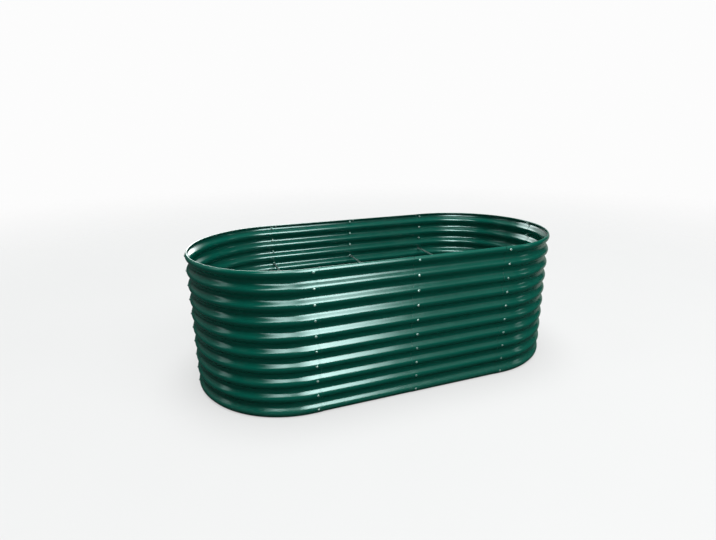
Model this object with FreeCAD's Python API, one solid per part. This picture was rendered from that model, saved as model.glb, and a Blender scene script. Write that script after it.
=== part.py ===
import FreeCAD, Part
import math
import os

# Raised garden bed: an open oval ring of corrugated, painted sheet steel.
# Row frame in millimetres: +X along the bed, front wall towards -Y, +Z up,
# origin on the ground at the middle of the bed.
#
# Eight sheets make the ring: two straight panels on each long side and four
# quarter-round corner panels. Neighbouring sheets lap by 50 mm and are held by
# one M6 screw on each of the ten ridges. Six tie rods cross the bed.

# ---------------------------------------------------------------- dimensions
half_width = 500.0        # outside of the ridges, front to back / 2
corner_radius = 500.0     # outside of the ridges, round ends
tangent_x = 535.0         # where the straight side meets the round end
seam_x = 515.0            # screw line between straight panel and corner panel
lap = 25.0                # from a screw line to the end of a sheet

ridge_count = 10
pitch = 76.2              # ridge to ridge
depth = 18.0              # ridge to groove, outside face to outside face
first_ridge_z = 21.5      # lowest ridge above the ground
top_z = 723.8             # top of the rolled rim
sheet = 0.8               # sheet thickness
layer = 1.0               # one lap steps a sheet in by this much
ridge_r = 22.4            # outside face of the ridge, outermost sheet
groove_r = 21.6           # outside face of the groove, outermost sheet

hem_r = 2.4               # rolled rim, middle of the sheet
hem_turn = 265.0          # degrees that the rim is rolled through
notch_z = 715.0           # a lapped sheet stops here, under the rim of its cover
notch_over = 2.0          # the notch runs this far past the cover's end

hole_r = 3.5
screw_r = 3.0
screw_len = 16.0
head_r = 6.0
head_h = 3.3
head_edge = 0.9
recess_len = 6.0
recess_w = 1.3
recess_deep = 1.9
washer_r = 6.5
washer_hole_r = 3.3
washer_t = 1.2
washer_in = 1.3           # a flat washer stands this far off the hollow of a ridge
nut_af = 10.0
nut_t = 5.0
nut_hole_r = 3.06
gap = 0.03                # clearance between faces that bear on each other

rod_r = 5.0
rod_tap_deep = 16.0
rod_chamfer = 0.8
rod_ridges = (3, 6)       # ridges counted from the ground
nut_turns = (8.0, 33.0, 51.0, 17.0, 40.0, 2.0, 28.0, 55.0, 12.0, 46.0)
head_turns = (12.0, 71.0, 38.0, 5.0, 54.0, 83.0, 27.0, 64.0, 45.0, 19.0)

os.makedirs("parts", exist_ok=True)
V = FreeCAD.Vector
ridge_z = [first_ridge_z + i * pitch for i in range(ridge_count)]
ring_axis = V(0, 0, 1)

# How far each sheet lies inside the outermost one, in layers.
inset = {
    "corner_panel_front_left": 0.0,
    "corner_panel_front_right": 0.0,
    "corner_panel_back_left": 1.0,
    "corner_panel_back_right": 1.0,
    "front_panel_right": 1.0,
    "front_panel_left": 2.0,
    "back_panel_left": 2.0,
    "back_panel_right": 3.0,
}


# ---------------------------------------------------------------- the section
def flank(down, inner, outer_r, inner_r):
    """Tangent points on a ridge circle and on the groove circle beside it."""
    c1, c2 = inner, down
    dn, dz = c2[0] - c1[0], c2[1] - c1[1]
    span = math.hypot(dn, dz)
    u = (dn / span, dz / span)
    side = 1.0 if dz > 0 else -1.0
    w = (u[1] * side, -u[0] * side)
    cb = (outer_r + inner_r) / span
    sb = math.sqrt(1.0 - cb * cb)
    m = (cb * u[0] + sb * w[0], cb * u[1] + sb * w[1])
    return (
        (c1[0] + outer_r * m[0], c1[1] + outer_r * m[1]),
        (c2[0] - inner_r * m[0], c2[1] - inner_r * m[1]),
        m,
    )


def face_line(shift):
    """One face of the sheet from the ground to the rolled rim, as (kind, points).
    n is 0 on the outside of the outermost ridges and negative towards the soil."""
    rr, gr = ridge_r - shift, groove_r + shift
    edges = []
    # below the lowest ridge: the flank is cut off level with the ground
    groove_n = -depth + groove_r
    p1, p2, m = flank((groove_n, ridge_z[0] - pitch / 2), (-ridge_r, ridge_z[0]), rr, gr)
    t = p1[1] / (p1[1] - p2[1])
    foot = (p1[0] + (p2[0] - p1[0]) * t, 0.0)
    here = foot
    lower = p1
    for i, z in enumerate(ridge_z):
        edges.append(("line", here, lower))
        up1, up2, mu = flank((groove_n, z + pitch / 2), (-ridge_r, z), rr, gr)
        edges.append(("arc", lower, (-ridge_r + rr, z), up1))
        if i < ridge_count - 1:
            edges.append(("line", up1, up2))
            bottom = (groove_n - gr, z + pitch / 2)
            nxt = flank((groove_n, z + pitch / 2), (-ridge_r, z + pitch), rr, gr)
            edges.append(("arc", up2, bottom, nxt[1]))
            here, lower = nxt[1], nxt[0]
        else:
            here = up1
    return foot, edges, here, mu


def section(name):
    """Closed section of a sheet, as a list of edges in (n, z)."""
    shift = inset[name] * layer
    foot_o, outer, end_o, m = face_line(shift)
    foot_i, inner, end_i, _ = face_line(shift + sheet)
    hz = top_z - hem_r - sheet / 2
    mid = ((end_o[0] + end_i[0]) / 2, (end_o[1] + end_i[1]) / 2)
    d = (-m[1], m[0])
    run = (hz + hem_r * m[1] - mid[1]) / d[1]
    e = (mid[0] + d[0] * run, mid[1] + d[1] * run)
    h = (e[0] - hem_r * m[0], e[1] - hem_r * m[1])
    a0 = math.atan2(m[1], m[0])
    a1 = a0 + math.radians(hem_turn)

    def on(r, a):
        return (h[0] + r * math.cos(a), h[1] + r * math.sin(a))

    ro, ri = hem_r + sheet / 2, hem_r - sheet / 2
    loop = list(outer)
    loop.append(("line", end_o, on(ro, a0)))
    for k in range(3):
        b0, b1 = a0 + (a1 - a0) * k / 3, a0 + (a1 - a0) * (k + 1) / 3
        loop.append(("arc", on(ro, b0), on(ro, (b0 + b1) / 2), on(ro, b1)))
    loop.append(("line", on(ro, a1), on(ri, a1)))
    for k in range(3):
        b0, b1 = a1 + (a0 - a1) * k / 3, a1 + (a0 - a1) * (k + 1) / 3
        loop.append(("arc", on(ri, b0), on(ri, (b0 + b1) / 2), on(ri, b1)))
    loop.append(("line", on(ri, a0), end_i))
    for piece in reversed(inner):
        loop.append((piece[0],) + tuple(reversed(piece[1:])))
    loop.append(("line", foot_i, foot_o))
    return loop


def section_face(name, x, side):
    """The section as a planar face at x, on the front (side -1) or back (side 1)."""

    def at(p):
        return V(x, side * (half_width + p[0]), p[1])

    edges = []
    for piece in section(name):
        pts = [at(p) for p in piece[1:]]
        if piece[0] == "line":
            if (pts[0] - pts[1]).Length > 1e-6:
                edges.append(Part.LineSegment(pts[0], pts[1]).toShape())
        else:
            edges.append(Part.Arc(*pts).toShape())
    return Part.Face(Part.Wire(edges))


def cylinder(r, length, start, direction):
    return Part.makeCylinder(r, length, start, direction)


def holes_through(x, side):
    """Screw holes of one seam on a straight side."""
    return [
        cylinder(hole_r, 40.0, V(x, side * (half_width + 10), z), V(0, -side, 0))
        for z in ridge_z
    ]


def holes_end(end):
    """Screw holes of the seam in the middle of a round end."""
    x = end * (tangent_x + corner_radius + 10)
    return [cylinder(hole_r, 40.0, V(x, 0, z), V(-end, 0, 0)) for z in ridge_z]


def straight_panel(name, x0, x1, side, seams, notches):
    body = section_face(name, x0, side).extrude(V(x1 - x0, 0, 0))
    tools = []
    for x in seams:
        tools += holes_through(x, side)
    for a, b in notches:
        y0 = side * (half_width - 40)
        y1 = side * (half_width + 10)
        tools.append(
            Part.makeBox(b - a, 50.0, 30.0, V(a, min(y0, y1), notch_z))
        )
    return body.cut(tools)


def corner_panel(name, end, side, over, notched):
    """Quarter-round sheet with a short straight tail. end is -1 left, 1 right;
    side is -1 front, 1 back; over is the lap past the middle of the round end."""
    centre = V(end * tangent_x, 0, 0)
    extra = math.degrees(over / corner_radius)
    face = section_face(name, end * tangent_x, side)
    turn = -side * end * (90.0 + extra)
    bend = face.revolve(centre, ring_axis, turn)
    tail_end = end * (seam_x - lap)
    tail = section_face(name, tail_end, side).extrude(
        V(end * tangent_x - tail_end, 0, 0)
    )
    body = bend.fuse(tail)
    tools = holes_through(end * seam_x, side) + holes_end(end)
    if notched:
        x0 = end * (tangent_x + corner_radius - 60)
        x1 = end * (tangent_x + corner_radius + 10)
        wide = 2 * (lap + notch_over)
        tools.append(
            Part.makeBox(70.0, wide, 30.0, V(min(x0, x1), -wide / 2, notch_z))
        )
    return body.cut(tools)


# ---------------------------------------------------------------- fasteners
def turned(profile, base, direction):
    """Solid of revolution from (radius, height) points, standing on base along direction."""
    pts = [V(r, 0, h) for r, h in profile]
    face = Part.Face(Part.makePolygon(pts + [pts[0]]))
    solid = face.revolve(V(0, 0, 0), V(0, 0, 1), 360.0)
    solid.Placement = FreeCAD.Placement(
        base, FreeCAD.Rotation(V(0, 0, 1), direction)
    )
    return solid


def screw(base, out, turn):
    """Truss-head screw. base is the bearing face's centre, out points away from the wall."""
    dome = []
    dome_r = (head_r**2 + (head_h - head_edge) ** 2) / (2 * (head_h - head_edge))
    cz = head_h - dome_r
    a_edge = math.asin(head_r / dome_r)
    edge = Part.LineSegment(V(head_r, 0, 0.25), V(head_r, 0, head_edge)).toShape()
    top = V(0, 0, head_h)
    arc = Part.Arc(
        V(head_r, 0, head_edge),
        V(dome_r * math.sin(a_edge / 2), 0, cz + dome_r * math.cos(a_edge / 2)),
        top,
    ).toShape()
    pts = [
        top,
        V(0, 0, -screw_len),
        V(screw_r - 0.6, 0, -screw_len),
        V(screw_r, 0, -screw_len + 0.6),
        V(screw_r, 0, 0),
        V(head_r - 0.25, 0, 0),
        V(head_r, 0, 0.25),
    ]
    lines = [Part.LineSegment(a, b).toShape() for a, b in zip(pts, pts[1:])]
    wire = Part.Wire([arc] + lines + [edge])
    wire = Part.Wire(Part.__sortEdges__(wire.Edges))
    solid = Part.Face(wire).revolve(V(0, 0, 0), V(0, 0, 1), 360.0)
    bars = []
    for extra in (0.0, 90.0):
        low = recess_len * 0.32
        high = recess_len / 2
        prism = Part.Face(
            Part.makePolygon(
                [
                    V(-low, -recess_w / 2, head_h - recess_deep),
                    V(low, -recess_w / 2, head_h - recess_deep),
                    V(high, -recess_w / 2, head_h + 0.5),
                    V(-high, -recess_w / 2, head_h + 0.5),
                    V(-low, -recess_w / 2, head_h - recess_deep),
                ]
            )
        ).extrude(V(0, recess_w, 0))
        prism.rotate(V(0, 0, 0), V(0, 0, 1), turn + extra)
        bars.append(prism)
    solid = solid.cut(bars)
    solid.Placement = FreeCAD.Placement(base, FreeCAD.Rotation(V(0, 0, 1), out))
    return solid


def washer(base, out):
    """Flat washer whose face away from the soil is at base."""
    c = 0.2
    return turned(
        [
            (washer_hole_r, 0),
            (washer_r - c, 0),
            (washer_r, -c),
            (washer_r, -washer_t + c),
            (washer_r - c, -washer_t),
            (washer_hole_r, -washer_t),
        ],
        base,
        out,
    )


def nut(base, out, turn):
    """Hexagon nut with chamfered corners, its bearing face at base."""
    corner = nut_af / math.sqrt(3)
    pts = [
        V(
            corner * math.cos(math.radians(60 * k + turn)),
            corner * math.sin(math.radians(60 * k + turn)),
            0,
        )
        for k in range(7)
    ]
    prism = Part.Face(Part.makePolygon(pts)).extrude(V(0, 0, -nut_t))
    cone = turned(
        [
            (0, 0),
            (nut_af / 2 - 0.1, 0),
            (corner + 0.01, -0.5),
            (corner + 0.01, -nut_t + 0.5),
            (nut_af / 2 - 0.1, -nut_t),
            (0, -nut_t),
        ],
        V(0, 0, 0),
        V(0, 0, 1),
    )
    solid = prism.common(cone)
    solid = solid.cut(cylinder(nut_hole_r, nut_t + 2, V(0, 0, -nut_t - 1), V(0, 0, 1)))
    solid.Placement = FreeCAD.Placement(base, FreeCAD.Rotation(V(0, 0, 1), out))
    return solid


# seam name: (foot point on the outermost ridges, outward direction, cover, lapped sheet, has rods)
seams = {
    "front_left": (V(-seam_x, -half_width, 0), V(0, -1, 0), "corner_panel_front_left", "front_panel_left", True),
    "front_middle": (V(0, -half_width, 0), V(0, -1, 0), "front_panel_right", "front_panel_left", True),
    "front_right": (V(seam_x, -half_width, 0), V(0, -1, 0), "corner_panel_front_right", "front_panel_right", True),
    "back_left": (V(-seam_x, half_width, 0), V(0, 1, 0), "corner_panel_back_left", "back_panel_left", True),
    "back_middle": (V(0, half_width, 0), V(0, 1, 0), "back_panel_left", "back_panel_right", True),
    "back_right": (V(seam_x, half_width, 0), V(0, 1, 0), "corner_panel_back_right", "back_panel_right", True),
    "end_left": (V(-tangent_x - corner_radius, 0, 0), V(-1, 0, 0), "corner_panel_front_left", "corner_panel_back_left", False),
    "end_right": (V(tangent_x + corner_radius, 0, 0), V(1, 0, 0), "corner_panel_front_right", "corner_panel_back_right", False),
}


def seam_levels(name):
    foot, out, cover, under, rods = seams[name]
    bearing = -inset[cover] * layer + gap
    hollow = -inset[under] * layer - sheet - washer_in
    return foot, out, bearing, hollow, rods


def write(name, shape):
    if isinstance(shape, list):
        shape = Part.makeCompound(shape)
    if len(shape.Solids) < 1 or not shape.isValid():
        raise RuntimeError("bad solid in " + name)
    shape.exportStep("parts/" + name + ".step")
    box = shape.BoundBox
    print(
        "%-28s %3d solids %4d faces  %10.0f mm3  z %.2f..%.2f"
        % (name, len(shape.Solids), len(shape.Faces), shape.Volume, box.ZMin, box.ZMax)
    )


# ---------------------------------------------------------------- build
cover_end = seam_x - lap          # end of a corner panel's straight tail
sheet_end = seam_x + lap          # end of a straight panel under it
n_to = cover_end - notch_over

write(
    "front_panel_left",
    straight_panel("front_panel_left", -sheet_end, lap, -1, (-seam_x, 0.0),
                   ((-sheet_end - 1, -n_to), (-lap - notch_over, lap + 1))),
)
write(
    "front_panel_right",
    straight_panel("front_panel_right", -lap, sheet_end, -1, (0.0, seam_x),
                   ((n_to, sheet_end + 1),)),
)
write(
    "back_panel_left",
    straight_panel("back_panel_left", -sheet_end, lap, 1, (-seam_x, 0.0),
                   ((-sheet_end - 1, -n_to),)),
)
write(
    "back_panel_right",
    straight_panel("back_panel_right", -lap, sheet_end, 1, (0.0, seam_x),
                   ((n_to, sheet_end + 1), (-lap - 1, lap + notch_over))),
)
for end, end_name in ((-1, "left"), (1, "right")):
    write("corner_panel_front_" + end_name,
          corner_panel("corner_panel_front_" + end_name, end, -1, lap, False))
    write("corner_panel_back_" + end_name,
          corner_panel("corner_panel_back_" + end_name, end, 1, lap, True))

for name in seams:
    foot, out, bearing, hollow, rods = seam_levels(name)
    screws, washers, nuts = [], [], []
    for i, z in enumerate(ridge_z):
        up = V(foot.x, foot.y, z)
        screws.append(screw(up + out * bearing, out, head_turns[i]))
        washers.append(washer(up + out * hollow, out))
        if not (rods and i in rod_ridges):
            nuts.append(nut(up + out * (hollow - washer_t - gap), out, nut_turns[i]))
    write("screws_" + name, screws)
    write("washers_" + name, washers)
    write("nuts_" + name, nuts)

# Tie rods: a round bar from wall to wall, tapped at both ends for a seam screw.
for place in ("left", "middle", "right"):
    foot_f, _, _, hollow_f, _ = seam_levels("front_" + place)
    foot_b, _, _, hollow_b, _ = seam_levels("back_" + place)
    y0 = foot_f.y - (hollow_f - washer_t - gap)
    y1 = foot_b.y + (hollow_b - washer_t - gap)
    length = y1 - y0
    for i, level in zip(rod_ridges, ("lower", "upper")):
        bar = turned(
            [
                (0, 0),
                (rod_r - rod_chamfer, 0),
                (rod_r, rod_chamfer),
                (rod_r, length - rod_chamfer),
                (rod_r - rod_chamfer, length),
                (0, length),
            ],
            V(foot_f.x, y0, ridge_z[i]),
            V(0, 1, 0),
        )
        taps = [
            cylinder(nut_hole_r, rod_tap_deep, V(foot_f.x, y0 - 1e-3, ridge_z[i]), V(0, 1, 0)),
            cylinder(nut_hole_r, rod_tap_deep, V(foot_f.x, y1 + 1e-3, ridge_z[i]), V(0, -1, 0)),
        ]
        write("tie_rod_%s_%s" % (place, level), bar.cut(taps))
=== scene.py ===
import bpy, bmesh, math
import numpy as np
from mathutils import Vector, Matrix


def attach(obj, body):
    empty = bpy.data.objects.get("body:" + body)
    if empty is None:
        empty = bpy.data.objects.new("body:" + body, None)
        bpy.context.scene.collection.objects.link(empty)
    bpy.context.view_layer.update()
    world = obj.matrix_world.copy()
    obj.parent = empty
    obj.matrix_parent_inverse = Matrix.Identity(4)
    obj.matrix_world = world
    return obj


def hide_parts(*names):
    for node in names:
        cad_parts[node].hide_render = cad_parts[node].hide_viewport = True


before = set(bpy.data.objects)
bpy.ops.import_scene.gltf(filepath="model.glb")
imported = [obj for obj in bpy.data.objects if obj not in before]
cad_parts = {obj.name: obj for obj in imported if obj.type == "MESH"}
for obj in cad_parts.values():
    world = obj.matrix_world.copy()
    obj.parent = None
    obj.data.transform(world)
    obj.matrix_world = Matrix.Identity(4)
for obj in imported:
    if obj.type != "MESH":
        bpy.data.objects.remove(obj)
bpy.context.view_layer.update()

# ------------------------------------------------------------------ camera
# f in pixels of a 716 wide picture, place in metres, angles in radians.
F_PX = 461.96
CAM_AT = (-0.99287, -2.35219, 1.30411)
YAW, PITCH, ROLL = 0.352975, 0.299744, -0.008778


def make_camera():
    fwd = Vector((math.sin(YAW) * math.cos(PITCH), math.cos(YAW) * math.cos(PITCH), -math.sin(PITCH)))
    right = Vector((math.cos(YAW), -math.sin(YAW), 0.0))
    up = right.cross(fwd)
    r2 = math.cos(ROLL) * right + math.sin(ROLL) * up
    u2 = -math.sin(ROLL) * right + math.cos(ROLL) * up
    cam = bpy.data.cameras.new("camera")
    cam.sensor_fit = "HORIZONTAL"
    cam.sensor_width = 36.0
    cam.lens = F_PX * 36.0 / 716.0
    cam.clip_end = 100.0
    o = bpy.data.objects.new("camera", cam)
    m = Matrix((r2, u2, -fwd)).transposed().to_4x4()
    m.translation = Vector(CAM_AT)
    o.matrix_world = m
    bpy.context.scene.collection.objects.link(o)
    bpy.context.scene.camera = o


make_camera()
# ------------------------------------------------------------------ sizes
# Millimetres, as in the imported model: the bed's outline and its sheet section.
HALF_W, CORNER_R, TANGENT_X, SEAM_X, LAP = 500.0, 500.0, 535.0, 515.0, 25.0
RIDGES, PITCH, DEPTH, Z0, TOP_Z = 10, 76.2, 18.0, 21.5, 723.8
SHEET, LAYER, RIDGE_R, GROOVE_R = 0.8, 1.0, 22.4, 21.6
HEM_R, HEM_TURN, NOTCH_Z, NOTCH_OVER = 2.4, 265.0, 715.0, 2.0
HOLE_R = 3.5
RIDGE_Z = [Z0 + i * PITCH for i in range(RIDGES)]
INSET = {
    "corner_panel_front_left": 0.0, "corner_panel_front_right": 0.0,
    "corner_panel_back_left": 1.0, "corner_panel_back_right": 1.0,
    "front_panel_right": 1.0, "front_panel_left": 2.0,
    "back_panel_left": 2.0, "back_panel_right": 3.0,
}
N_ARC, N_HEM = 8, 16


def flank(c1, c2, r1, r2):
    """Inner tangent of a ridge circle and a groove circle in (n, z), and its normal."""
    dn, dz = c2[0] - c1[0], c2[1] - c1[1]
    span = math.hypot(dn, dz)
    u = (dn / span, dz / span)
    s = 1.0 if dz > 0 else -1.0
    w = (u[1] * s, -u[0] * s)
    cb = (r1 + r2) / span
    sb = math.sqrt(1 - cb * cb)
    m = (cb * u[0] + sb * w[0], cb * u[1] + sb * w[1])
    return (c1[0] + r1 * m[0], c1[1] + r1 * m[1]), (c2[0] - r2 * m[0], c2[1] - r2 * m[1]), m


def face_line(shift):
    """Points (n, z) of one face of a sheet from its foot to the start of its rolled rim.
    Rows that lie on a ridge's arc are listed by ridge, for the screw holes."""
    rr, gr = RIDGE_R - shift, GROOVE_R + shift
    gn = -DEPTH + GROOVE_R
    pts, rows = [], []
    p1, p2, m = flank((-RIDGE_R, RIDGE_Z[0]), (gn, RIDGE_Z[0] - PITCH / 2), rr, gr)
    t = p1[1] / (p1[1] - p2[1])
    pts.append((p1[0] + (p2[0] - p1[0]) * t, 0.0))
    half = None

    def straight_to(q):
        """Rows just inside both ends of a flank keep it flat where the light runs along it."""
        a = pts[-1]
        for k in (0.14, 0.86):
            pts.append((a[0] + (q[0] - a[0]) * k, a[1] + (q[1] - a[1]) * k))

    for i, z in enumerate(RIDGE_Z):
        up1, up2, mu = flank((-RIDGE_R, z), (gn, z + PITCH / 2), rr, gr)
        half = math.atan2(mu[1], mu[0])
        straight_to((-RIDGE_R + rr * math.cos(half), z - rr * math.sin(half)))
        rows.append(len(pts))
        for k in range(N_ARC + 1):
            a = -half + 2 * half * k / N_ARC
            pts.append((-RIDGE_R + rr * math.cos(a), z + rr * math.sin(a)))
        if i < RIDGES - 1:
            straight_to((gn - gr * math.cos(half), z + PITCH / 2 - gr * math.sin(half)))
            for k in range(N_ARC + 1):
                a = half - 2 * half * k / N_ARC
                pts.append((gn - gr * math.cos(a), z + PITCH / 2 - gr * math.sin(a)))
    return np.array(pts), rows, half, mu


def section(shift):
    """Paired points of a sheet's outer and inner faces, foot to rim tip, as (n, z)."""
    fo, rows, half, m = face_line(shift)
    fi, _, _, _ = face_line(shift + SHEET)
    hz = TOP_Z - HEM_R - SHEET / 2
    mid = (fo[-1] + fi[-1]) / 2
    d = np.array((-m[1], m[0]))
    e = mid + d * ((hz + HEM_R * m[1] - mid[1]) / d[1])
    h = e - HEM_R * np.array(m)
    a0 = math.atan2(m[1], m[0])
    ro, ri = HEM_R + SHEET / 2, HEM_R - SHEET / 2
    o, i = list(map(tuple, fo)), list(map(tuple, fi))
    for k in range(N_HEM + 1):
        a = a0 + math.radians(HEM_TURN) * k / N_HEM
        c = np.array((math.cos(a), math.sin(a)))
        o.append(tuple(h + ro * c))
        i.append(tuple(h + ri * c))
    return np.array(o), np.array(i), rows, half


def sway(p, z):
    """How far the wall leans out of true at p along the ring and z up, in mm. One field for
    the whole ring, so that lapped sheets keep their gap."""
    ring = 4 * TANGENT_X + 2 * math.pi * CORNER_R
    w = 2 * math.pi * p / ring
    v = (0.20 * np.sin(7 * w + 0.6 + z * 0.0021) + 0.16 * np.sin(16 * w + 2.1 - z * 0.0047)
         + 0.10 * np.sin(29 * w + 4.0 + z * 0.0090) + 0.06 * np.sin(47 * w + 1.2 - z * 0.0170))
    return v * np.clip(z / 60.0, 0, 1) * np.clip((NOTCH_Z + 5 - z) / 60.0, 0, 1) * 0.9


def sway_down(p, z):
    """The same for the height of a ridge line."""
    ring = 4 * TANGENT_X + 2 * math.pi * CORNER_R
    w = 2 * math.pi * p / ring
    v = 0.22 * np.sin(9 * w + 1.7 + z * 0.004) + 0.14 * np.sin(21 * w + 0.3 - z * 0.011)
    return v * np.clip(z / 60.0, 0, 1) * np.clip((NOTCH_Z + 5 - z) / 60.0, 0, 1)


# The ring that the ridges' outside runs along: p is 0 where the front meets the left end.
FRONT, ARC = 2 * TANGENT_X, math.pi * CORNER_R
RING = 2 * FRONT + 2 * ARC
SEAMS = {
    "front_left": TANGENT_X - SEAM_X, "front_middle": TANGENT_X, "front_right": TANGENT_X + SEAM_X,
    "end_right": FRONT + ARC / 2,
    "back_right": FRONT + ARC + TANGENT_X - SEAM_X, "back_middle": FRONT + ARC + TANGENT_X,
    "back_left": FRONT + ARC + TANGENT_X + SEAM_X,
    "end_left": 2 * FRONT + ARC + ARC / 2,
}
# panel: start and end on the ring, seam at each end, whether it lies over or under there
BACK0, LEFT0 = FRONT + ARC, 2 * FRONT + ARC
PANELS = {
    "front_panel_left": (SEAMS["front_left"] - LAP, SEAMS["front_middle"] + LAP, "front_left", "under", "front_middle", "under"),
    "front_panel_right": (SEAMS["front_middle"] - LAP, SEAMS["front_right"] + LAP, "front_middle", "over", "front_right", "under"),
    "corner_panel_front_right": (SEAMS["front_right"] - LAP, SEAMS["end_right"] + LAP, "front_right", "over", "end_right", "over"),
    "corner_panel_back_right": (SEAMS["end_right"] - LAP, SEAMS["back_right"] + LAP, "end_right", "under", "back_right", "over"),
    "back_panel_right": (SEAMS["back_right"] - LAP, SEAMS["back_middle"] + LAP, "back_right", "under", "back_middle", "under"),
    "back_panel_left": (SEAMS["back_middle"] - LAP, SEAMS["back_left"] + LAP, "back_middle", "over", "back_left", "under"),
    "corner_panel_back_left": (SEAMS["back_left"] - LAP, SEAMS["end_left"] + LAP, "back_left", "over", "end_left", "under"),
    "corner_panel_front_left": (SEAMS["end_left"] - LAP, RING + SEAMS["front_left"] + LAP, "end_left", "over", "front_left", "over"),
}
SHARED_SEAM = {  # seam: (sheet over, sheet under)
    "front_left": ("corner_panel_front_left", "front_panel_left"),
    "front_middle": ("front_panel_right", "front_panel_left"),
    "front_right": ("corner_panel_front_right", "front_panel_right"),
    "back_left": ("corner_panel_back_left", "back_panel_left"),
    "back_middle": ("back_panel_left", "back_panel_right"),
    "back_right": ("corner_panel_back_right", "back_panel_right"),
    "end_left": ("corner_panel_front_left", "corner_panel_back_left"),
    "end_right": ("corner_panel_front_right", "corner_panel_back_right"),
}


def ring(p):
    """(x, y) on the ring and the outward direction there, for an array of p."""
    p = np.mod(np.asarray(p, float), RING)
    x, y, nx, ny = (np.zeros_like(p) for _ in range(4))
    k = p <= FRONT
    x[k], y[k], nx[k], ny[k] = p[k] - TANGENT_X, -HALF_W, 0, -1
    k = (p > FRONT) & (p <= BACK0)
    a = (p[k] - FRONT) / CORNER_R - math.pi / 2
    x[k], y[k], nx[k], ny[k] = TANGENT_X + CORNER_R * np.cos(a), CORNER_R * np.sin(a), np.cos(a), np.sin(a)
    k = (p > BACK0) & (p <= LEFT0)
    x[k], y[k], nx[k], ny[k] = TANGENT_X - (p[k] - BACK0), HALF_W, 0, 1
    k = p > LEFT0
    a = (p[k] - LEFT0) / CORNER_R + math.pi / 2
    x[k], y[k], nx[k], ny[k] = -TANGENT_X + CORNER_R * np.cos(a), CORNER_R * np.sin(a), np.cos(a), np.sin(a)
    return x, y, nx, ny


def seam_calm(p):
    """0 at every screw line and 1 well away from them: the screws hold the wall true."""
    p = np.mod(np.asarray(p, float), RING)
    f = np.ones_like(p)
    for s in SEAMS.values():
        d = np.abs(p - s)
        d = np.minimum(d, RING - d)
        f = f * (1 - np.exp(-((np.maximum(d - 14, 0) / 55.0) ** 2)))
    return f


def smooth(t):
    t = np.clip(t, 0, 1)
    return t * t * (3 - 2 * t)


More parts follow.
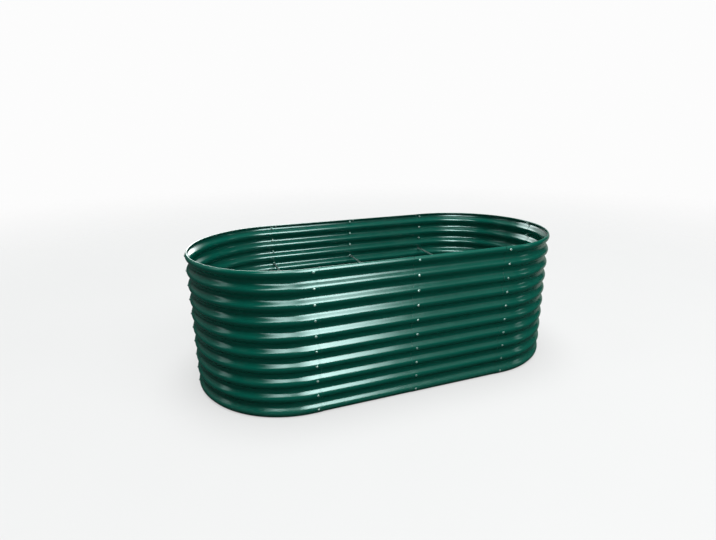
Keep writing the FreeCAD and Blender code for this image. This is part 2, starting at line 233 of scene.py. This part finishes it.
def make_panel(name):
    p0, p1, seam0, role0, seam1, role1 = PANELS[name]
    shift = INSET[name] * LAYER
    outer, inner, rows, half = section(shift)
    nj = len(outer)
    s0, s1 = p0 + LAP, p1 - LAP

    # columns: fine at the ends and round the screw lines, and even between
    cols = {p0, p0 + 1.2, p0 + 5.0, p1 - 5.0, p1 - 1.2, p1}
    for s in (s0, s1):
        cols |= {s + d for d in (-14.0, -10.0, -5.0, 0.0, 5.0, 10.0, 14.0)}
    notch = []
    for a, b, seam, role in ((p0, s0, seam0, role0), (s1, p1, seam1, role1)):
        if role == "under":
            if a == p0:
                e = s0 + LAP + NOTCH_OVER
                notch.append((p0 - 1, e))
                cols |= {e, e + 4.0}
            else:
                e = s1 - LAP - NOTCH_OVER
                notch.append((e, p1 + 1))
                cols |= {e, e - 4.0}
    step = 17.5 if name.startswith("corner") else 24.0
    lo, hi = s0 + 14, s1 - 14
    n = max(2, int(round((hi - lo) / step)))
    for k in range(1, n):
        c = lo + (hi - lo) * k / n
        if min(abs(c - x) for x in cols) > 5.0:
            cols.add(c)
    cols = np.array(sorted(cols))
    ni = len(cols)

    # how far the ends of the sheet are pressed in or spring out past their screws
    def press(p):
        f = np.zeros_like(p)
        for s, end, seam, role in ((s0, p0, seam0, role0), (s1, p1, seam1, role1)):
            over, under = SHARED_SEAM[seam]
            room = (INSET[under] - INSET[over]) * LAYER - SHEET
            d = (p - s) if end > s else (s - p)
            if role == "over":
                f = f - (room - 0.06) * smooth((d - 6.0) / (LAP - 6.0))
            else:
                f = f - 0.5 * smooth((d - 6.0) / (LAP - 6.0))
        return f

    def place(p, nz, inside):
        """Points in metres from ring places and (n, z)."""
        x, y, nx, ny = ring(p)
        z = nz[..., 1]
        calm = seam_calm(p)
        off = nz[..., 0] + sway(np.mod(p, RING), z) * calm + press(p)
        return np.stack([x + nx * off, y + ny * off, z + sway_down(np.mod(p, RING), z) * calm], -1) / 1000.0

    verts, index = [], {}
    grid = {}
    for side, line in (("o", outer), ("i", inner)):
        P, J = np.meshgrid(cols, np.arange(nj), indexing="ij")
        grid[side] = place(P, line[J], side == "i")

    def vert(side, i, j):
        key = (side, i, j)
        if key not in index:
            index[key] = len(verts)
            verts.append(grid[side][i, j])
        return index[key]

    def in_notch(i):
        c = (cols[i] + cols[i + 1]) / 2
        return any(a < c < b for a, b in notch)

    notch_row = rows[-1] + N_ARC // 2 + 2
    keep = np.ones((ni - 1, nj - 1), bool)
    for i in range(ni - 1):
        if in_notch(i):
            keep[i, notch_row:] = False
    holes = []
    for s in (s0, s1):
        c = int(np.argmin(np.abs(cols - s)))
        for r in rows:
            m = r + N_ARC // 2
            keep[c - 2:c + 2, m - 2:m + 2] = False
            holes.append((c, m, s))
    hole_cells = set()
    for c, m, s in holes:
        for i in range(c - 2, c + 2):
            for j in range(m - 2, m + 2):
                hole_cells.add((i, j))

    faces = []
    for i in range(ni - 1):
        for j in range(nj - 1):
            if keep[i, j]:
                faces.append((vert("o", i, j), vert("o", i + 1, j), vert("o", i + 1, j + 1), vert("o", i, j + 1)))
                faces.append((vert("i", i, j + 1), vert("i", i + 1, j + 1), vert("i", i + 1, j), vert("i", i, j)))

    def open_side(i, j):
        return not (0 <= i < ni - 1 and 0 <= j < nj - 1) or (not keep[i, j] and (i, j) not in hole_cells)

    for i in range(ni - 1):
        for j in range(nj - 1):
            if not keep[i, j] and (i, j) not in hole_cells:
                continue
            for (a, b), (di, dj) in (
                (((i, j), (i + 1, j)), (0, -1)),
                (((i + 1, j), (i + 1, j + 1)), (1, 0)),
                (((i + 1, j + 1), (i, j + 1)), (0, 1)),
                (((i, j + 1), (i, j)), (-1, 0)),
            ):
                if open_side(i + di, j + dj):
                    faces.append((vert("o", *b), vert("o", *a), vert("i", *a), vert("i", *b)))

    # screw holes: a ring of quads from each square patch to its hole, on both faces
    def loop(c, m):
        pts = [(c - 2 + k, m - 2) for k in range(4)] + [(c + 2, m - 2 + k) for k in range(4)]
        pts += [(c + 2 - k, m + 2) for k in range(4)] + [(c - 2, m + 2 - k) for k in range(4)]
        return pts

    for c, m, s in holes:
        z_ridge = RIDGE_Z[rows.index(m - N_ARC // 2)]
        square = loop(c, m)
        angle = []
        for i, j in square:
            b = (j - m) * 2 * half / N_ARC * RIDGE_R
            angle.append(math.atan2(b, cols[i] - s))
        rims = {}
        for side, cut in (("o", shift), ("i", shift + SHEET)):
            rr = RIDGE_R - cut
            last = [vert(side, i, j) for i, j in square]
            for rad in (6.0, HOLE_R):
                pp = np.array([s + rad * math.cos(a) for a in angle])
                aa = np.array([rad * math.sin(a) / RIDGE_R for a in angle])
                nz = np.stack([-RIDGE_R + rr * np.cos(aa), z_ridge + rr * np.sin(aa)], -1)
                new = []
                for q in place(pp, nz, side == "i"):
                    new.append(len(verts))
                    verts.append(q)
                for k in range(16):
                    k2 = (k + 1) % 16
                    f = (last[k], last[k2], new[k2], new[k])
                    faces.append(f if side == "o" else f[::-1])
                last = new
            rims[side] = last
        for k in range(16):
            k2 = (k + 1) % 16
            faces.append((rims["o"][k], rims["o"][k2], rims["i"][k2], rims["i"][k]))

    # edge is how near a vertex is to a cut edge
    mesh = bpy.data.meshes.new(name + "_skin")
    mesh.from_pydata([tuple(v) for v in verts], [], faces)
    mesh.update()
    edge = np.zeros(len(verts), np.float32)
    for (side, i, j), k in index.items():
        d = min(cols[i] - cols[0], cols[-1] - cols[i])
        e = max(0.0, 1 - d / 5.0)
        if j == 0 or j == nj - 1:
            e = 1.0
        edge[k] = e
    mesh.attributes.new("edge", "FLOAT", "POINT").data.foreach_set("value", edge)
    mesh.polygons.foreach_set("use_smooth", [True] * len(mesh.polygons))
    mesh.set_sharp_from_angle(angle=math.radians(32))
    o = bpy.data.objects.new(name + "_skin", mesh)
    bpy.context.scene.collection.objects.link(o)
    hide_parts(name)
    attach(o, "root")
    return o


# ------------------------------------------------------------------ node helpers
class Graph:
    """Short-hand for building a node tree."""

    def __init__(self, tree):
        self.t = tree
        tree.nodes.clear()

    def node(self, kind, **inputs):
        n = self.t.nodes.new(kind)
        for k, v in inputs.items():
            self.put(n, k, v)
        return n

    def put(self, n, key, v):
        sock = n.inputs[int(key[1:])] if key[0] == "_" else n.inputs[key.replace("_", " ")]
        if isinstance(v, bpy.types.NodeSocket):
            self.t.links.new(v, sock)
        else:
            sock.default_value = v

    def math(self, op, a, b=None, c=None, clamp=False):
        n = self.t.nodes.new("ShaderNodeMath")
        n.operation = op
        n.use_clamp = clamp
        for k, v in enumerate((a, b, c)):
            if v is not None:
                self.put(n, "_%d" % k, v)
        return n.outputs[0]

    def ramp(self, v, a, b, lo=0.0, hi=1.0, kind="SMOOTHSTEP"):
        n = self.t.nodes.new("ShaderNodeMapRange")
        n.interpolation_type = kind
        self.put(n, "_0", v)
        for k, x in enumerate((a, b, lo, hi)):
            self.put(n, "_%d" % (k + 1), x)
        return n.outputs[0]

    def mix(self, f, a, b, kind="RGBA", blend="MIX"):
        n = self.t.nodes.new("ShaderNodeMix")
        n.data_type = kind
        if kind == "RGBA":
            n.blend_type = blend
        self.put(n, "_0", f)
        ins = {"RGBA": (6, 7), "FLOAT": (2, 3)}[kind]
        out = {"RGBA": 2, "FLOAT": 0}[kind]
        self.put(n, "_%d" % ins[0], a)
        self.put(n, "_%d" % ins[1], b)
        return n.outputs[out]

    def noise(self, vec, scale, detail=2.0, rough=0.5, stretch=None):
        if stretch:
            m = self.t.nodes.new("ShaderNodeMapping")
            self.put(m, "_0", vec)
            m.inputs["Scale"].default_value = stretch
            vec = m.outputs[0]
        n = self.t.nodes.new("ShaderNodeTexNoise")
        self.put(n, "Vector", vec)
        n.inputs["Scale"].default_value = scale
        n.inputs["Detail"].default_value = detail
        n.inputs["Roughness"].default_value = rough
        return n.outputs[0]

    def bump(self, height, strength, distance, normal=None):
        n = self.t.nodes.new("ShaderNodeBump")
        n.inputs["Strength"].default_value = strength
        n.inputs["Distance"].default_value = distance
        self.put(n, "Height", height)
        if normal is not None:
            self.put(n, "Normal", normal)
        return n.outputs[0]


def new_material(name):
    m = bpy.data.materials.new(name)
    m.use_nodes = True
    g = Graph(m.node_tree)
    out = g.node("ShaderNodeOutputMaterial")
    p = g.node("ShaderNodeBsdfPrincipled")
    m.node_tree.links.new(p.outputs[0], out.inputs[0])
    return m, g, p


# ------------------------------------------------------------------ materials
def paint():
    """Gloss dark green factory paint on galvanised sheet, a little dusty and worn."""
    m, g, p = new_material("painted_steel")
    pos = g.node("ShaderNodeTexCoord").outputs["Object"]
    sep = g.node("ShaderNodeSeparateXYZ", _0=pos)
    z = sep.outputs[2]
    geo = g.node("ShaderNodeNewGeometry")
    nsep = g.node("ShaderNodeSeparateXYZ", _0=geo.outputs["Normal"])
    up = g.ramp(nsep.outputs[2], 0.15, 0.85)
    edge = g.node("ShaderNodeAttribute")
    edge.attribute_name = "edge"
    edge = edge.outputs["Fac"]

    wide = g.noise(pos, 2.3, 3.0, 0.55)
    mid = g.noise(pos, 14.0, 4.0, 0.6)
    fine = g.noise(pos, 160.0, 3.0, 0.6)
    streak = g.noise(pos, 9.0, 3.0, 0.5, stretch=(1.0, 1.0, 0.12))

    base = g.mix(g.ramp(wide, 0.3, 0.7), (*PAINT_A, 1), (*PAINT_B, 1))
    # dust lies on the upper flanks, in thin patches, and is splashed up from the ground
    lie = g.math("MULTIPLY", up, g.ramp(mid, 0.42, 0.75, 0.0, 1.0))
    lie = g.math("MULTIPLY", lie, g.ramp(streak, 0.35, 0.65, 0.3, 1.0))
    splash = g.math("MULTIPLY", g.ramp(z, 0.075, 0.0, 0.0, 1.0), g.ramp(fine, 0.45, 0.62))
    specks = g.math("MULTIPLY", g.ramp(z, 0.24, 0.02, 0.0, 1.0), g.ramp(g.noise(pos, 420.0, 1.0), 0.66, 0.72))
    dust = g.math("ADD", g.math("MULTIPLY", lie, 0.05), g.math("MULTIPLY", splash, 0.10), clamp=True)
    dust = g.math("ADD", dust, g.math("MULTIPLY", specks, 0.18), clamp=True)
    base = g.mix(dust, base, (0.20, 0.19, 0.155, 1))
    # bare zinc shows where the cut edges rub
    rub = g.math("MULTIPLY", g.ramp(edge, 0.55, 1.0), g.ramp(g.noise(pos, 95.0, 4.0, 0.65), 0.50, 0.62))
    base = g.mix(g.math("MULTIPLY", rub, 0.30), base, (0.26, 0.34, 0.32, 1))
    g.put(p, "Base_Color", base)
    g.put(p, "Metallic", g.math("MULTIPLY", rub, 0.3))

    # gloss: smooth paint, duller in hazy patches, where dusty and at rubbed edges
    r = g.ramp(mid, 0.25, 0.8, 0.115, 0.165)
    r = g.math("ADD", r, g.ramp(g.noise(pos, 5.0, 5.0, 0.6, stretch=(1.0, 1.0, 0.5)), 0.5, 0.75, 0.0, 0.05))
    r = g.math("ADD", r, g.math("MULTIPLY", dust, 1.3))
    r = g.math("ADD", r, g.math("MULTIPLY", rub, 0.2), clamp=True)
    g.put(p, "Roughness", r)
    p.inputs["IOR"].default_value = 1.5
    p.inputs["Specular Tint"].default_value = (0.76, 1.0, 0.985, 1)

    # orange peel in the paint, and the faint drawing lines of the rolled sheet
    peel = g.noise(pos, 900.0, 2.0, 0.5)
    roll = g.noise(pos, 60.0, 3.0, 0.5, stretch=(0.08, 0.08, 1.0))
    nrm = g.bump(peel, 0.10, 0.00012)
    nrm = g.bump(roll, 0.16, 0.0010, nrm)
    nrm = g.bump(specks, 0.25, 0.0004, nrm)
    g.put(p, "Normal", nrm)
    return m


def zinc(name, tone, rough, brushed):
    """Bright zinc plating: bluish, cloudy, with fine turning marks."""
    m, g, p = new_material(name)
    pos = g.node("ShaderNodeTexCoord").outputs["Object"]
    cloud = g.noise(pos, 240.0, 4.0, 0.6)
    piece = g.noise(pos, 18.0, 1.0)
    base = g.mix(g.ramp(cloud, 0.3, 0.7), (*tone, 1), tuple(0.82 * c for c in tone) + (1,))
    base = g.mix(g.ramp(piece, 0.35, 0.65, 0.0, 0.25), base, (0.52, 0.55, 0.50, 1))
    spot = g.ramp(g.noise(pos, 900.0, 3.0, 0.7), 0.64, 0.72)
    base = g.mix(g.math("MULTIPLY", spot, 0.5), base, (0.16, 0.15, 0.13, 1))
    g.put(p, "Base_Color", base)
    p.inputs["Metallic"].default_value = 1.0
    g.put(p, "Roughness", g.math("ADD", g.ramp(cloud, 0.25, 0.8, rough, rough + 0.14), g.math("MULTIPLY", spot, 0.2)))
    nrm = g.bump(g.noise(pos, 1500.0, 2.0, 0.5, stretch=brushed), 0.12, 0.00010)
    nrm = g.bump(cloud, 0.08, 0.0002, nrm)
    g.put(p, "Normal", nrm)
    return m


# ------------------------------------------------------------------ light and floor
def window(g, v, a0, a1, b1, b0):
    """1 from a1 to b1, and 0 below a0 and above b0."""
    return g.math("MULTIPLY", g.ramp(v, a0, a1), g.ramp(v, b1, b0, 1.0, 0.0))


def steps(g, v, lo, hi, stops):
    """A smooth profile through (place, level) stops."""
    n = g.t.nodes.new("ShaderNodeValToRGB")
    g.put(n, "_0", g.ramp(v, lo, hi, kind="LINEAR"))
    ramp = n.color_ramp
    ramp.interpolation = "EASE"
    while len(ramp.elements) > 1:
        ramp.elements.remove(ramp.elements[-1])
    for k, (x, level) in enumerate(stops):
        e = ramp.elements[0] if k == 0 else ramp.elements.new((x - lo) / (hi - lo))
        e.position = (x - lo) / (hi - lo)
        e.color = (level, level, level, 1)
    return n.outputs[0]


def sky():
    """Soft studio light from all round: a large overhead softbox and weak fills. The camera
    itself sees a plain pale backdrop."""
    w = bpy.data.worlds.new("studio")
    bpy.context.scene.world = w
    w.use_nodes = True
    g = Graph(w.node_tree)
    out = g.node("ShaderNodeOutputWorld")
    d = g.node("ShaderNodeTexCoord").outputs["Generated"]
    sep = g.node("ShaderNodeSeparateXYZ", _0=d)
    x, y, z = sep.outputs
    deg = 180.0 / math.pi
    el = g.math("MULTIPLY", g.math("ARCSINE", z), deg)
    az = g.math("MULTIPLY", g.math("ARCTAN2", x, g.math("MULTIPLY", y, -1.0)), deg)
    total = None
    for level, (a0, a1, b1, b0), (e0, e1, f1, f0) in SOFTBOXES:
        f = window(g, el, e0, e1, f1, f0)
        if a0 is not None:
            f = g.math("MULTIPLY", f, window(g, az, a0, a1, b1, b0))
        f = g.math("MULTIPLY", f, level)
        total = f if total is None else g.math("ADD", total, f)
    light = g.node("ShaderNodeBackground")
    light.inputs[0].default_value = SKY_TINT
    g.put(light, "Strength", total)
    back = g.node("ShaderNodeBackground")
    back.inputs[0].default_value = BACKDROP
    back.inputs[1].default_value = 1.0
    mixer = g.node("ShaderNodeMixShader")
    g.put(mixer, "_0", g.node("ShaderNodeLightPath").outputs["Is Camera Ray"])
    w.node_tree.links.new(light.outputs[0], mixer.inputs[1])
    w.node_tree.links.new(back.outputs[0], mixer.inputs[2])
    w.node_tree.links.new(mixer.outputs[0], out.inputs[0])


def softbox(name, at, facing, size, level, across, upward, lean=0.0, rise=None):
    """A tall strip softbox that shows as a soft-edged highlight in the gloss. across and upward
    are its brightness along the wall and up it, in metres. lean is how far it leans sideways
    per metre of height above 1.2 m, and rise is (from, to, how far) that its foot steps up."""
    d = bpy.data.lights.new(name, "AREA")
    d.shape = "RECTANGLE"
    d.size, d.size_y = size
    d.energy = math.pi * size[0] * size[1] * level
    d.use_nodes = True
    g = Graph(d.node_tree)
    out = g.node("ShaderNodeOutputLight")
    e = g.node("ShaderNodeEmission")
    e.inputs[0].default_value = (1.0, 1.0, 1.0, 1)
    pos = g.node("ShaderNodeNewGeometry").outputs["Position"]
    sep = g.node("ShaderNodeSeparateXYZ", _0=pos)
    along = sep.outputs[0] if abs(facing[1]) > 0.5 else sep.outputs[1]
    if lean:
        along = g.math("SUBTRACT", along, g.math("MULTIPLY", g.math("SUBTRACT", sep.outputs[2], 1.2), lean))
    fx = steps(g, along, across[0][0], across[-1][0], across)
    height = sep.outputs[2]
    if rise:
        height = g.math("SUBTRACT", height, g.ramp(sep.outputs[0], rise[0], rise[1], 0.0, rise[2]))
    fz = steps(g, height, upward[0][0], upward[-1][0], upward)
    g.put(e, "Strength", g.math("MULTIPLY", fx, fz))
    d.node_tree.links.new(e.outputs[0], out.inputs[0])
    o = bpy.data.objects.new(name, d)
    z = -Vector(facing)
    x = Vector((0, 0, 1)).cross(z)
    m = Matrix((x, z.cross(x), z)).transposed().to_4x4()
    m.translation = Vector(at)
    o.matrix_world = m
    o.visible_camera = False
    o.visible_diffuse = False
    bpy.context.scene.collection.objects.link(o)


def top_light(at, aim, size, level):
    """A large overhead diffuser in front of the bed. It lights the paint itself and has no
    highlight of its own."""
    d = bpy.data.lights.new("top_light", "AREA")
    d.shape = "RECTANGLE"
    d.size, d.size_y = size
    d.energy = math.pi * size[0] * size[1] * level
    d.color = (0.97, 1.0, 0.985)
    o = bpy.data.objects.new("top_light", d)
    z = (Vector(at) - Vector(aim)).normalized()
    x = Vector((0, 0, 1)).cross(z).normalized()
    m = Matrix((x, z.cross(x), z)).transposed().to_4x4()
    m.translation = Vector(at)
    o.matrix_world = m
    o.visible_camera = False
    o.visible_glossy = False
    bpy.context.scene.collection.objects.link(o)


def floor():
    """A plain pale studio floor that runs out into the backdrop. The bed sees it darker than the
    camera does, as if black cards lay round the bed, with a lighter one behind its right end."""
    mesh = bpy.data.meshes.new("studio_floor")
    n, s = 24, 30.0
    v = [((i / n - 0.5) * 2 * s, (j / n - 0.5) * 2 * s, -0.0004) for j in range(n + 1) for i in range(n + 1)]
    f = [(j * (n + 1) + i, j * (n + 1) + i + 1, (j + 1) * (n + 1) + i + 1, (j + 1) * (n + 1) + i) for j in range(n) for i in range(n)]
    mesh.from_pydata(v, [], f)
    mesh.update()
    o = bpy.data.objects.new("studio_floor", mesh)
    bpy.context.scene.collection.objects.link(o)
    m = bpy.data.materials.new("studio_floor")
    m.use_nodes = True
    g = Graph(m.node_tree)
    out = g.node("ShaderNodeOutputMaterial")
    pos = g.node("ShaderNodeTexCoord").outputs["Object"]
    tone = g.ramp(g.noise(pos, 1.2, 4.0, 0.55), 0.3, 0.7, 0.985, 1.0)
    path = g.node("ShaderNodeLightPath").outputs
    sep = g.node("ShaderNodeSeparateXYZ", _0=pos)
    card = g.math("MULTIPLY", g.ramp(sep.outputs[0], 1.0, 1.45), g.ramp(sep.outputs[1], -0.35, 0.15))
    shaders = []
    for colour in (FLOOR_BOUNCE, FLOOR_GLOSS, FLOOR_SEEN):
        d = g.node("ShaderNodeBsdfDiffuse")
        c = g.node("ShaderNodeCombineColor")
        for k in range(3):
            level = g.math("MULTIPLY", tone, colour[k])
            if colour is FLOOR_GLOSS:
                level = g.math("ADD", level, g.math("MULTIPLY", card, FLOOR_CARD[k]))
            g.put(c, "_%d" % k, level)
        g.put(d, "Color", c.outputs[0])
        shaders.append(d)
    glossy = g.node("ShaderNodeMixShader")
    g.put(glossy, "_0", path["Is Glossy Ray"])
    m.node_tree.links.new(shaders[0].outputs[0], glossy.inputs[1])
    m.node_tree.links.new(shaders[1].outputs[0], glossy.inputs[2])
    seen = g.node("ShaderNodeMixShader")
    g.put(seen, "_0", path["Is Camera Ray"])
    glow = g.node("ShaderNodeEmission")
    glow.inputs[0].default_value = BACKDROP
    glow.inputs[1].default_value = FLOOR_GLOW
    shown = g.node("ShaderNodeAddShader")
    m.node_tree.links.new(shaders[2].outputs[0], shown.inputs[0])
    m.node_tree.links.new(glow.outputs[0], shown.inputs[1])
    far = g.math("SQRT", g.math("ADD", g.math("POWER", sep.outputs[0], 2.0), g.math("POWER", sep.outputs[1], 2.0)))
    fade = g.node("ShaderNodeMixShader", _0=g.ramp(far, 2.2, 9.0))
    m.node_tree.links.new(shown.outputs[0], fade.inputs[1])
    m.node_tree.links.new(g.node("ShaderNodeBsdfTransparent").outputs[0], fade.inputs[2])
    m.node_tree.links.new(glossy.outputs[0], seen.inputs[1])
    m.node_tree.links.new(fade.outputs[0], seen.inputs[2])
    m.node_tree.links.new(seen.outputs[0], out.inputs[0])
    mesh.materials.append(m)


# Base colours, linear.
PAINT_A = (0.0010, 0.088, 0.0615)
PAINT_B = (0.0012, 0.080, 0.0560)
BACKDROP = (0.975, 0.975, 0.975, 1)
SKY_TINT = (0.94, 1.0, 0.985, 1)
FLOOR_SEEN = (0.190, 0.184, 0.186)
FLOOR_GLOW = 0.54
FLOOR_BOUNCE = (0.125, 0.145, 0.135)
FLOOR_GLOSS = (0.026, 0.040, 0.037)
FLOOR_CARD = (0.13, 0.13, 0.115)
# level, bearing window, height window, all in degrees. Bearing 0 is straight in front of the
# bed, 90 to its right.
SOFTBOXES = [
    (11.5, (None,) * 4, (63.0, 74.0, 95.0, 96.0)),
    (0.035, (None,) * 4, (-8.0, 12.0, 58.0, 68.0)),
    (0.10, (20.0, 30.0, 70.0, 90.0), (10.0, 22.0, 55.0, 65.0)),
    (1.9, (-106.0, -101.0, -96.0, -90.0), (12.0, 20.0, 46.0, 56.0)),
    (2.3, (57.0, 61.0, 64.0, 69.0), (9.0, 14.0, 25.0, 31.0)),
    (0.40, (108.0, 122.0, 179.0, 181.0), (-8.0, -1.0, 55.0, 65.0)),
    (0.20, (-181.0, -179.0, -110.0, -80.0), (-4.0, 10.0, 55.0, 65.0)),
]
KEY_ACROSS = [(-2.45, 0.0), (-1.95, 0.20), (-1.65, 0.50), (-1.2, 0.70), (-0.95, 0.46), (-0.75, 0.40), (-0.48, 0.80),
              (-0.2, 1.22), (0.06, 1.02), (0.2, 0.80), (0.36, 0.38), (0.62, 0.06), (0.95, 0.022), (1.7, 0.014), (2.0, 0.0)]
KEY_UP = [(0.80, 0.0), (0.98, 0.75), (1.2, 1.0), (1.65, 1.0), (2.0, 0.82), (2.28, 0.5), (2.48, 0.12), (2.65, 0.0)]
BACK_ACROSS = [(-1.5, 0.0), (-1.0, 0.5), (-0.3, 1.0), (0.2, 0.75), (0.7, 0.15), (1.4, 0.03), (1.8, 0.0)]

softbox("key_softbox", (-0.225, -1.69, 1.725), (0, 1, 0), (4.45, 1.85), 19.0, KEY_ACROSS, KEY_UP, 0.28, (-0.42, -0.80, 0.42))
top_light((1.5, -4.1, 5.5), (0.0, -0.4, 0.4), (5.5, 3.6), 4.6)
softbox("back_softbox", (0.15, 1.69, 1.725), (0, -1, 0), (3.3, 1.85), 15.0, BACK_ACROSS, KEY_UP)
sky()
floor()
green = paint()
fastener = zinc("zinc_fasteners", (0.205, 0.345, 0.31), 0.58, (1.0, 1.0, 1.0))
bar = zinc("zinc_bar", (0.56, 0.64, 0.635), 0.26, (1.0, 0.05, 1.0))
for name in PANELS:
    make_panel(name).data.materials.append(green)
for name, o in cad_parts.items():
    if name in PANELS:
        continue
    o.data.materials.clear()
    o.data.materials.append(bar if name.startswith("tie_rod") else fastener)
    o.data.polygons.foreach_set("use_smooth", [True] * len(o.data.polygons))
    o.data.set_sharp_from_angle(angle=math.radians(34))

bpy.context.scene.view_settings.view_transform = "Standard"
bpy.context.scene.view_settings.look = "None"
bpy.context.scene.view_settings.exposure = 0.0
bpy.context.scene.view_settings.gamma = 1.0
